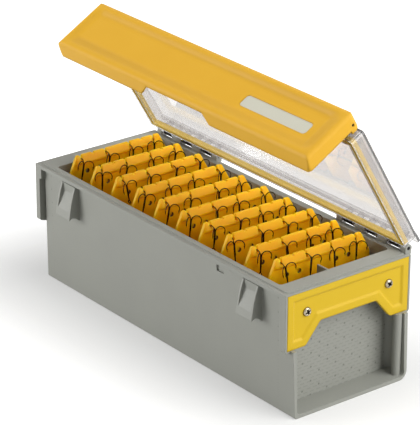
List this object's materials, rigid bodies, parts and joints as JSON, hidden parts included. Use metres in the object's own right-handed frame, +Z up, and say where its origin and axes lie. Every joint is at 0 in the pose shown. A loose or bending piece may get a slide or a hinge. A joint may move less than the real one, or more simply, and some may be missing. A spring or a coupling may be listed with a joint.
{
  "type": "lure box",
  "caption": "Long hinged tackle box with a clear sealed lid, a swing-over latch cover, slotted racks that hang treble hooks, and a carry handle plate at one end",
  "frame": {"origin": "on the base plane, under the middle of the rim", "axes": "+X along the box to the handle plate, -Y to the front wall with the catches, +Z up"},
  "size_m": [0.336, 0.1413, 0.2322],
  "materials": {
    "gray_moulding": "fine satin moulded plastic",
    "yellow_plate": "satin moulded plastic",
    "amber_cover": "satin moulded plastic",
    "rack_yellow": "satin moulded plastic",
    "clear_lid": "clear moulded plastic",
    "seal_strip": "soft matt strip",
    "label": "plain pale insert",
    "pin_steel": "dark steel",
    "screw_chrome": "bright plating",
    "hook_black": "black nickel wire"
  },
  "bodies": {
    "box": {"box_body": "gray_moulding", "handle_plate": "yellow_plate", "handle_screws": "screw_chrome", "hinge_pins": "pin_steel", "rack_01": "rack_yellow", "rack_02": "rack_yellow", "rack_03": "rack_yellow", "rack_04": "rack_yellow", "rack_05": "rack_yellow", "rack_06": "rack_yellow", "rack_07": "rack_yellow", "rack_08": "rack_yellow", "rack_09": "rack_yellow", "rack_10": "rack_yellow", "treble_hooks_01": "hook_black", "treble_hooks_02": "hook_black", "treble_hooks_03": "hook_black", "treble_hooks_04": "hook_black", "treble_hooks_05": "hook_black", "treble_hooks_06": "hook_black", "treble_hooks_07": "hook_black", "treble_hooks_08": "hook_black", "treble_hooks_09": "hook_black", "treble_hooks_10": "hook_black"},
    "lid": {"lid": "clear_lid", "lid_seal": "seal_strip"},
    "cover": {"latch_cover": "amber_cover", "latch_pins": "pin_steel", "label_insert": "label"}
  },
  "joints": [
    {"name": "lid_hinge", "type": "hinge", "parent": "box", "child": "lid", "pos_m": [0, 0.0625, 0.107], "axis": [-1, 0, 0], "range_deg": [-60, 50]},
    {"name": "cover_hinge", "type": "hinge", "parent": "lid", "child": "cover", "pos_m": [0, 0.00391, 0.22248], "axis": [-1, 0, 0], "range_deg": [0, 90]}
  ]
}
